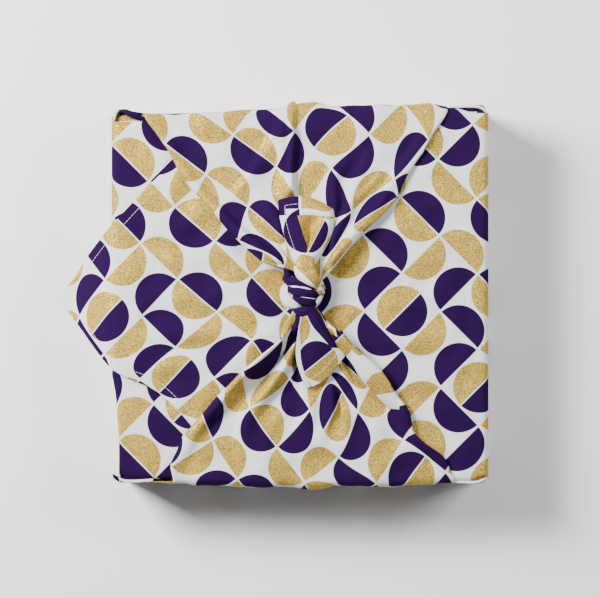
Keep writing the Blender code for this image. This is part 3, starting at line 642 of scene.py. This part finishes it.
class SideFlap:
    """A side wall and its flap, with the flap's hanging margins. The right flap (side 1) lies over the left
    one (side -1), and its corner hangs past the box's left edge."""

    def __init__(self, side, corner, outer, top, tables, creases, step):
        self.side, self.tables, self.creases, self.step = side, tables, creases, step
        self.corner_y = corner[1]
        self.centre_out = WALL_OUT - EDGE_RADIUS
        self.centre_up = top - EDGE_RADIUS
        self.reach = abs(self.centre_out - side * corner[0])
        self.full = outer - MARGIN_RADIUS

    def trims(self, way):
        """How much narrower the flap's far and near sides are than its square."""
        if self.side < 0:
            return CORNER_TRIM * smooth((way + 24) / 10) * (1 - smooth((way - 1) / 6)), 0.0 * way
        width = self.reach + way
        corner = HEM_TRIM * smooth((width - 15) / 15) * (1 - smooth((width - 45) / 25))
        middle = SIDE_TRIM * smooth((width - 50) / 40) * smooth((145 - width) / 50)
        return 0.0 * way, corner + middle

    def nudged(self, x, y):
        """The right flap's places, pulled out of their square."""
        pull = pinned(RIGHT_NUDGES)(x, y) * smooth((-x - 10) / 30)[..., None]
        return x + pull[..., 0], y + pull[..., 1]

    def drooped(self, x, y, z):
        """The right flap's places, with those past the box's left edge hanging down."""
        edge = self.centre_out + 2
        beyond = np.maximum(-x - edge, 0.0)
        near = smooth(0.5 - (y - self.corner_y) / 60)
        lower = z - read(DROOP, beyond, 2) * (1 - DROOP_TWIST * near)
        past = beyond > 0
        return np.where(past, -edge - read(DROOP, beyond), x), y, np.where(past, lower, z)

    def place(self, way, t):
        """Points, prints and hems at ways and at distances t from the flap's middle line."""
        width = self.reach + way
        hems = hem_of(width, t)
        far_trim, near_trim = self.trims(way)
        t = np.where(t > 0, t - far_trim * np.clip(t / 20, 0, 1), t + near_trim * np.clip(-t / 20, 0, 1))
        shift = self.corner_y * smooth((self.full - width) / 40)
        prints = print_of(self.side * (self.centre_out + way), t + shift, self.tables)
        out, up = round_edge(way, self.centre_out, self.centre_up, EDGE_RADIUS)
        side_y, drop = round_edge(np.abs(t) - self.full, self.full, -MARGIN_RADIUS, MARGIN_RADIUS)
        x = self.side * out
        y = np.sign(t) * side_y + shift
        free = smooth((self.full - np.abs(t)) / 10) * smooth((BOX_HALF - np.abs(x)) / 10) * smooth(-way / 12)
        z = up + drop + (creased(x, y, self.creases) + rumple(x, y)) * free
        if self.side > 0:
            x, y, z = self.drooped(*self.nudged(x, y), z)
        return np.stack([x, y, z], -1), prints, hems

    def sew(self, cloth):
        top = [-self.reach, 8 - self.reach, self.full - self.reach, -MARGIN_RADIUS, 0.0]
        ways = ways_over(top, (), self.centre_up, self.step, self.step)
        shares = np.linspace(-1, 1, 2 * round(self.full / self.step) + 1)
        way, share = np.meshgrid(ways, shares, indexing="ij")
        width = np.clip(self.reach + way, 0.6, self.full)
        cloth.add(*self.place(way, share * width), flip=self.side < 0)
        hanging = ways[(ways <= -1.0) & (ways >= self.full - self.reach - 1e-6)]
        way, share = np.meshgrid(hanging, np.linspace(0, 1, 13), indexing="ij")
        longest = (MARGIN_RADIUS * math.pi / 2 + OVERHANG) * smooth(-way / 10)
        margin = np.clip(self.reach + way - self.full, 0.0, longest)
        kept = 1 - self.trims(way)[0] / CORNER_TRIM
        for edge, length in ((-1, margin), (1, margin * kept)):
            grid = self.place(way, edge * (self.full + share * length))
            cloth.add(*grid, flip=(self.side < 0) == (edge > 0))


def wrapped(z, run, gape):
    """X and Y of the cloth round an upright corner, at a height and at a run from where its bend begins."""
    angle = np.clip(run / CORNER_RADIUS, 0, math.pi / 2)
    foot = np.clip(FOOT_RADIUS - z, 0, FOOT_RADIUS)
    radius = CORNER_RADIUS - FOOT_RADIUS + np.sqrt(FOOT_RADIUS ** 2 - foot ** 2)
    centre = WRAP_OUT - CORNER_RADIUS
    x = centre + radius * np.cos(angle) - np.maximum(run - CORNER_TURN, 0.0)
    opened = gape * (1 - smooth((run - 6) / 26)) * smooth(run / 5)
    return x, centre + radius * np.sin(angle) + opened * smooth((z - 25) / 38)


def wrap_round(cloth, side, far, gape, spot, lining):
    """A side wall's cloth, round the corner and on under the far or near flap, and its pocket's inside."""
    flip = side * far < 0
    heights = spaced([0.0, FOOT_RADIUS, 20.0, 50.0, POCKET_TOP], 3.0)
    runs = spaced([0.0, CORNER_TURN, CORNER_TURN + 74.0], WRAP_STEP)
    z, run = np.meshgrid(heights, runs, indexing="ij")
    x, y = wrapped(z, run, gape)
    cloth.add(np.stack([side * x, far * y, z], -1), print_by(spot, run, z), flip=flip)

    share, run = np.meshgrid(np.linspace(0, 1, 9), spaced([0.0, 8.0, 32.0], WRAP_STEP), indexing="ij")
    x, y = wrapped(np.full_like(run, POCKET_TOP), run, gape)
    inner_x = np.minimum(x, BOX_HALF + 1.0)
    inner_y = np.minimum(RIGHT_OUT + 0.4, BOX_HALF + 0.2 + 0.8 * run)
    x = x - LIP + (inner_x - x + LIP) * share
    y = y - LIP + (inner_y - y + LIP) * share
    deep = 0.4 + 1.2 * smooth(run / 6) * (1 - smooth((run - 8) / 24)) * share ** 0.8
    cloth.add(np.stack([side * x, far * y, POCKET_TOP - deep], -1), print_by(lining, run, run), flip=flip)


def settled(points):
    """The points, drawn closer to the box's far and left walls where the cloth is pulled tight."""
    x, y, z = points[..., 0], points[..., 1], points[..., 2]
    over = np.maximum(y - TIGHT_WALL, 0.0)
    beyond = np.maximum(-x - TIGHT_WALL, 0.0)
    tight_y = y - over * (1 - read(FAR_KEPT, np.clip(x, -136, 136)))
    tight_x = x + beyond * (1 - read(LEFT_KEPT, np.clip(y, -136, 136)))
    return np.stack([tight_x, tight_y, z], -1)


def beside_tail(x, y, side):
    """0 under a tail, which presses the folds flat, and 1 away from it."""
    end_x, end_y, half = TAIL_ENDS[side]
    along = np.clip(side * y, TAIL_START, end_y)
    middle = end_x * (along - TAIL_START) / (end_y - TAIL_START) + 3.0
    return smooth((np.hypot(x - middle, side * y - along) - half) / 6)


class TiedFlap:
    """The far wall (side 1) or the near one (side -1) and its flap, gathered up to the knot."""

    def __init__(self, side, left, right, foot, proud, creases, pins):
        self.side, self.left, self.right, self.foot = side, left, right, foot
        self.proud, self.creases, self.pins = proud, creases, pins

    def across(self, level, down, column):
        """X at each column, how far it lies under the flap's top, and its distance from the flap's side."""
        first = ROLL_COLUMNS + TUCK_COLUMNS
        last = first + FLAP_COLUMNS - 1
        left = (read(self.left, level) + ROLL) * (1 - down) + self.foot[0] * down
        right = (read(self.right, level) - ROLL) * (1 - down) + self.foot[1] * down
        tuck = read(TUCK, level) * (1 - 0.7 * down)
        x = left + (right - left) * np.interp(column, [first, last], [0.0, 1.0])
        under = np.zeros_like(x)
        for edge, index in ((-1, first - column), (1, column - last)):
            turned = index > 0
            angle = np.interp(index, [0, ROLL_COLUMNS], [0, math.pi])
            share = np.clip((index - ROLL_COLUMNS) / TUCK_COLUMNS, 0, 1)
            x = np.where(turned, x + edge * (ROLL * np.sin(angle) - share * tuck), x)
            under = np.where(turned, ROLL * (1 - np.cos(angle)) - (2 * ROLL - 1.5) * share, under)
        return x, under, np.minimum(x - left, right - x)

    def height(self, x, flat_y, way, lift, from_side):
        """How far the folds stand out from the plain flap."""
        y = self.side * flat_y
        folds = creased(x, self.side * np.minimum(flat_y, LAST_Y), self.creases)
        height = FOLD_DEPTH * folds + rumple(x, y)
        height = height + PUFF * np.exp(-(from_side / 7) ** 2) * smooth(way / -20 + 0.4)
        height = height * smooth(1.15 - (way - EDGE_TURN) / 60)
        height = np.where(height > 0, height * beside_tail(x, y, self.side), height)
        return np.maximum(height, -0.3 - 0.75 * lift)

    def sew(self, cloth):
        centre_out, centre_up = TIED_OUT - EDGE_RADIUS, TIED_TOP - EDGE_RADIUS
        top = [KNOT_REACH - centre_out, 0.0]
        ways = ways_over(top, (EDGE_TURN + 10,), centre_up, FLAP_STEP, WALL_STEP)
        columns = np.arange(FLAP_COLUMNS + 2 * (ROLL_COLUMNS + TUCK_COLUMNS))
        way, column = np.meshgrid(ways, columns, indexing="ij")
        out, up = round_edge(way, centre_out, centre_up, EDGE_RADIUS)
        level = np.where(way < EDGE_TURN, out, TIED_OUT)
        down = np.where(way > EDGE_TURN, smooth((centre_up - up) / centre_up), 0.0)
        x, under, from_side = self.across(level, down, column)
        flat_y = centre_out + way
        lift = np.where(way < 0, climb(out), 0.0)
        depth = self.height(x, flat_y, way, lift, from_side) - under
        tilt = np.clip(way / EDGE_TURN, 0, 1) * math.pi / 2
        out = out + read(self.proud, x) * smooth((way + 14) / 20) * smooth(1.25 - (way - EDGE_TURN) / 60)
        y = self.side * (out + depth * np.sin(tilt))
        last_y = np.minimum(flat_y, LAST_Y)
        past = (flat_y - last_y) / math.sqrt(2) / CELL
        prints = pinned(self.pins)(x, self.side * last_y) + self.side * past[..., None]
        cloth.add(np.stack([x, y, up + lift + depth * np.cos(tilt)], -1), prints, flip=self.side > 0)


def panel(cloth, net, rows, columns, spots, hems_on=(), flip=False):
    """A smooth sheet through a net of X, Y, height above the flap there. Its spots are keyed by the share
    of its columns where each starts, and its hems are on the named borders."""
    net = drawn(drawn(net, rows).swapaxes(0, 1), columns).swapaxes(0, 1)
    x, y, height = net[..., 0], net[..., 1], net[..., 2]
    points = np.stack([x, y, TIED_TOP + climb(np.abs(y)) + height], -1)
    over = np.linalg.norm(np.diff(points, axis=0), axis=-1)
    across = np.linalg.norm(np.diff(points, axis=1), axis=-1)
    down = np.concatenate([np.zeros((1, columns)), np.cumsum(over, 0)])
    along = np.concatenate([np.zeros((rows, 1)), np.cumsum(across, 1)], 1)
    hems = np.full(points.shape[:2] + (2,), NO_HEM)
    for border in hems_on:
        distance, place = (along, down) if border == "first" else (down[-1] - down, along)
        nearer = distance < hems[..., 0]
        hems[nearer] = np.stack([distance, place], -1)[nearer]
    starts = [round(share * (columns - 1)) for share in spots] + [columns - 1]
    for spot, start, end in zip(spots.values(), starts, starts[1:]):
        part = slice(start, end + 1)
        cloth.add(points[:, part], print_by(spot, x, y)[:, part], hems[:, part], flip)


def rim(cloth, spot, rows):
    """A rolled edge along the mouth of a pocket."""
    net = []
    for out_x, out_y, in_x, in_y, crest in rows:
        middle = ((out_x + in_x) / 2, (out_y + in_y) / 2, crest)
        net.append(((out_x, out_y, crest - 9), (out_x, out_y, crest - 1.3), middle,
                    (in_x, in_y, crest - 1.3), (in_x, in_y, crest - 7)))
    first, last = rows[0], rows[-1]
    run_x, run_y = last[0] - first[0], last[1] - first[1]
    turning = run_x * (first[3] - first[1]) - run_y * (first[2] - first[0])
    panel(cloth, net, 41, 21, {0: spot}, flip=turning > 0)


def strand(cloth, pleats, depth, spot, path):
    """A rope of gathered cloth, with its pleats along it."""
    path = drawn(path, 36)
    centre = path[:, :3] + np.array((0, 0, TIED_TOP + RISE))
    run = np.gradient(centre, axis=0)
    run /= np.linalg.norm(run, axis=1)[:, None]
    side = np.cross(run, (0, 0, 1.0))
    side /= np.linalg.norm(side, axis=1)[:, None]
    up = np.cross(side, run)
    angle = np.linspace(0, 2 * math.pi, 65 if pleats else 25)
    lobes = 1 - depth + depth * np.abs(np.cos(pleats * angle / 2 + 0.6)) ** 0.7
    wide = (path[:, 3] / 2)[:, None] * (np.cos(angle) * lobes)
    thick = (path[:, 4] / 2)[:, None] * (np.sin(angle) * lobes)
    points = centre[:, None] + wide[..., None] * side[:, None] + thick[..., None] * up[:, None]
    cloth.add(points, print_by(spot, points[..., 0], points[..., 1]), flip=True)


def far_tail(cloth):
    net = np.array(FAR_TAIL)
    panel(cloth, net[:5, :3], 49, 21, {0: WING_SPOT}, ("first",))
    panel(cloth, net[:5, 2:4], 49, 11, {0: GOLD})
    panel(cloth, net[:5, 3:5], 49, 11, {0: GOLD})
    panel(cloth, net[:5, 4:], 49, 21, {0: RIGHT_WING_SPOT})
    panel(cloth, net[5:8], 9, 97, {0: PURPLE, 0.175: WHITE, 0.19: WING_SPOT, 0.36: WHITE}, ("first",))
    panel(cloth, net[7:], 13, 97, {0: PURPLE, 0.352: WHITE, 0.385: TOP_SPOT}, ("first", "last"))
    panel(cloth, FAR_UNDER, 67, 33, {0: UNDER_SPOT})


def near_tail(cloth):
    net = np.array(NEAR_TAIL)
    panel(cloth, net[:, :5], 71, 41, {0: WHITE, 0.125: NEAR_SPOT}, ("last",), True)
    panel(cloth, net[:5, 4:7], 41, 17, {0: PURPLE}, (), True)
    panel(cloth, net[4:, 4:7], 31, 17, {0: WHITE}, ("last",), True)
    panel(cloth, net[:, 6:], 71, 33, {0: UNDER_SPOT}, (), True)
    panel(cloth, NEAR_BAND, 31, 101, {0: BAND_START_SPOT, 0.30: WHITE, 0.62: BAND_END_SPOT, 0.84: WHITE})


def skin_cloth():
    """The underside, the walls, the side flaps and the two gathered flaps."""
    cloth = Cloth()
    underside(cloth)
    SideFlap(-1, LEFT_CORNER, LEFT_OUT, LEFT_TOP, (LEFT_A, LEFT_B), (), LEFT_STEP).sew(cloth)
    SideFlap(1, RIGHT_CORNER, RIGHT_OUT, RIGHT_TOP, (RIGHT_A, RIGHT_B), RIGHT_CREASES, RIGHT_STEP).sew(cloth)
    for corner in CORNERS:
        wrap_round(cloth, *corner)
    TiedFlap(1, FAR_LEFT, FAR_RIGHT, FAR_FOOT, FAR_PROUD, FAR_CREASES, FAR_PINS).sew(cloth)
    TiedFlap(-1, NEAR_LEFT, NEAR_RIGHT, NEAR_FOOT, NEAR_PROUD, NEAR_CREASES, NEAR_PINS).sew(cloth)
    return cloth


def knot_cloth():
    """The knot's strands and the two tails."""
    cloth = Cloth()
    for pleats, depth, spot, path in STRANDS:
        strand(cloth, pleats, depth, spot, path)
    far_tail(cloth)
    near_tail(cloth)
    return cloth


def corner_cloth():
    """The pockets' rims, and what shows inside them."""
    cloth = Cloth()
    for spot, rows in RIMS:
        rim(cloth, spot, rows)
    panel(cloth, POCKET_LINING, 25, 25, {0: GOLD})
    for side, far, spot, top in CORNER_PATCHES:
        net = np.array(PATCH) * (side, far, 1) + (0, 0, top)
        panel(cloth, net, 13, 33, {0: spot}, flip=side * far > 0)
    return cloth


class Value:
    """A shader value that can be worked with in formulas."""

    def __init__(self, tree, socket):
        self.tree, self.socket = tree, socket

    def math(self, operation, *others):
        node = self.tree.nodes.new("ShaderNodeMath")
        node.operation = operation
        fill(self.tree, node, dict(enumerate((self, *others))))
        return Value(self.tree, node.outputs[0])

    def __add__(self, other):
        return self.math("ADD", other)

    def __sub__(self, other):
        return self.math("SUBTRACT", other)

    def __mul__(self, other):
        return self.math("MULTIPLY", other)

    def equals(self, other):
        return self.math("COMPARE", other, 0.1)

    def opposite(self):
        return (self * -1) + 1

    def clamped(self, scale):
        """0 to 1 over the narrow band that softens an edge."""
        value = self * scale + 0.5
        value.socket.node.use_clamp = True
        return value


def fill(tree, node, inputs):
    """A node with these inputs set, each to a number, a colour, a socket or a Value."""
    for name, value in inputs.items():
        value = getattr(value, "socket", value)
        if isinstance(value, bpy.types.NodeSocket):
            tree.links.new(value, node.inputs[name])
        else:
            node.inputs[name].default_value = value
    return node


def added(tree, kind, inputs):
    return fill(tree, tree.nodes.new("ShaderNode" + kind), inputs)


def new_material(name):
    made = bpy.data.materials.new(name)
    made.use_nodes = True
    return made, made.node_tree, made.node_tree.nodes["Principled BSDF"]


def object_place(tree):
    return added(tree, "TexCoord", {}).outputs["Object"]


def noise(tree, place, scale, detail):
    node = added(tree, "TexNoise", {"Vector": place, "Scale": scale, "Detail": detail})
    return Value(tree, node.outputs["Fac"])


def map_of(tree, name):
    node = added(tree, "UVMap", {})
    node.uv_map = name
    split = added(tree, "SeparateXYZ", {0: node.outputs["UV"]})
    return Value(tree, split.outputs[0]), Value(tree, split.outputs[1])


def mixed(tree, share, first, second):
    """A colour between two, each a colour or a socket."""
    node = added(tree, "Mix", {})
    node.data_type = "RGBA"
    return fill(tree, node, {"Factor": share, 6: first, 7: second}).outputs[2]


def bump(tree, height, distance, strength):
    inputs = {"Height": height, "Distance": distance * MM, "Strength": strength}
    return added(tree, "Bump", inputs).outputs[0]


def half_discs(a, b):
    """(purple share, gold share) of the print at the line counts a and b.

    The repeat, by rows of cells: row 0 has halves on the sides of the even cells and on the ends of the odd
    ones, row 1 on the ends of all, row 2 on the ends of the even and the sides of the odd ones, and row 3 on
    the sides of the even cells and a whole disc in the odd ones.
    """
    row = b.math("FLOOR").math("FLOORED_MODULO", 4.0)
    odd = a.math("FLOOR").math("FLOORED_MODULO", 2.0)
    rows = [row.equals(float(n)) for n in range(4)]
    even = odd.opposite()
    on_ends = rows[1] + rows[0] * odd + rows[2] * even
    purple_first = rows[0] + rows[1] * odd + rows[3] * odd
    gold_first = purple_first.opposite()
    x = a.math("FRACT")
    y = b.math("FRACT")
    on_sides = on_ends.opposite()
    p = (x * on_sides + y * on_ends + rows[3] * odd * 0.5).math("FRACT")
    q = y * on_sides + x * on_ends - 0.5
    shares = []
    for toward in (p, p.opposite()):
        away = (toward * toward + q * q).math("SQRT")
        inside = (away * -1 + DISC).clamped(90.0)
        shares.append(inside * (toward - LINE).clamped(90.0))
    purple = shares[0] * purple_first + shares[1] * gold_first
    gold = shares[0] * gold_first + shares[1] * purple_first
    return purple, gold


def glitter(tree, place):
    """(colour, how brightly each grain shines) of the gold halves. Each grain's colour runs at random from
    near black to bright gold: partly the foil's own uneven tone, partly painted glint and painted shade on
    single grains. The same shine also sets the grains' real metallic and roughness.
    """
    grain = added(tree, "TexVoronoi", {"Vector": place, "Scale": GLITTER_SCALE})
    split = added(tree, "SeparateColor", {0: grain.outputs["Color"]})
    sparkle = Value(tree, split.outputs[0])
    dullness = Value(tree, split.outputs[1]) * 0.4
    # Painted glint and painted shade: each grain coloured bright or near black at random, on top of the
    # foil's random dull tone
    return mixed(tree, dullness, mixed(tree, sparkle, GOLD_DARK, GOLD_LIGHT), GOLD_DULL), sparkle


def printed_cotton():
    made, tree, shader = new_material("printed_cotton")
    place = object_place(tree)
    purple, gold = half_discs(*map_of(tree, "Print"))
    golden, sparkle = glitter(tree, place)
    from_hem, along = map_of(tree, "Hem")
    seam = ((from_hem - HEM).math("ABSOLUTE") * -1 + THREAD_HALF).clamped(8.0)
    dash = ((along * (1 / STITCH)).math("FRACT") * -1 + STITCH_SHARE).clamped(12.0)
    thread = seam * dash * 0.65
    colour = mixed(tree, purple, GROUND, PURPLE_INK)
    # The gold halves take the grains' colours, painted glint included
    colour = mixed(tree, gold, colour, golden)
    colour = mixed(tree, thread, colour, THREAD)
    shine = gold * sparkle
    weave = noise(tree, place, 90.0, 3.0)
    hem_fold = (from_hem * -1 + HEM + 0.6).clamped(1.5)
    height = weave * 0.35 + hem_fold * 0.3 + thread * 0.25 + seam * -0.2 + shine * 0.06
    fill(tree, shader, {"Base Color": colour, "Metallic": shine * 0.55, "Roughness": shine * -0.35 + 0.82,
                        "Specular IOR Level": 0.06, "Normal": bump(tree, height, 1.0, 0.8)})
    return made


def carton():
    """Unprinted brown board, with its fibres."""
    made, tree, shader = new_material("carton")
    fibres = noise(tree, object_place(tree), 220.0, 5.0)
    colour = mixed(tree, fibres, BOARD_DARK, BOARD_LIGHT)
    fill(tree, shader, {"Base Color": colour, "Roughness": 0.85, "Normal": bump(tree, fibres, 0.2, 1.0)})
    return made


def camera():
    """Straight above, 600 by 598 pixels of 0.72 mm."""
    data = bpy.data.cameras.new("camera")
    data.sensor_width = 36.0
    data.lens = data.sensor_width * (CAMERA_HEIGHT - TIED_TOP) / (PIXEL * PICTURE_WIDTH)
    bpy.context.scene.camera = placed("camera", data, (0, CAMERA_Y * MM, CAMERA_HEIGHT * MM))


def lamp(name, place, watts, colour):
    data = bpy.data.lights.new(name, "AREA")
    data.size = 0.5
    data.energy = watts
    data.color = colour
    made = placed(name, data, place)
    made.rotation_euler = (Vector((0, 0, 0.05)) - made.location).to_track_quat("-Z", "Y").to_euler()


def studio():
    world = bpy.data.worlds.new("studio")
    world.use_nodes = True
    background = world.node_tree.nodes["Background"]
    background.inputs[0].default_value = (0.93, 0.95, 1.0, 1)
    background.inputs[1].default_value = 0.15
    bpy.context.scene.world = world
    lamp("key", (-0.85, 0.5, 1.0), 52.0, (1.0, 0.985, 0.96))
    lamp("fill", (0.85, 0.35, 1.0), 12.0, (0.97, 0.98, 1.0))
    bpy.ops.mesh.primitive_plane_add(size=6, location=(0, 0, 0))
    floor = bpy.context.object
    floor.name = "floor"
    paint, tree, shader = new_material("floor")
    fill(tree, shader, {"Base Color": FLOOR, "Roughness": 0.8})
    floor.data.materials.append(paint)


def main():
    camera()
    studio()
    skin = skin_cloth().build("furoshiki", settled)
    knot = knot_cloth().build("furoshiki_knot")
    mouths = corner_cloth().build("furoshiki_corners")
    cotton = printed_cotton()
    for piece in (skin, knot, mouths):
        piece.data.materials.append(cotton)
        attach(piece, "root")
        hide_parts("wrap_cloth")
    box = bpy.data.objects["gift_box"]
    box.data.materials.clear()
    box.data.materials.append(carton())


main()
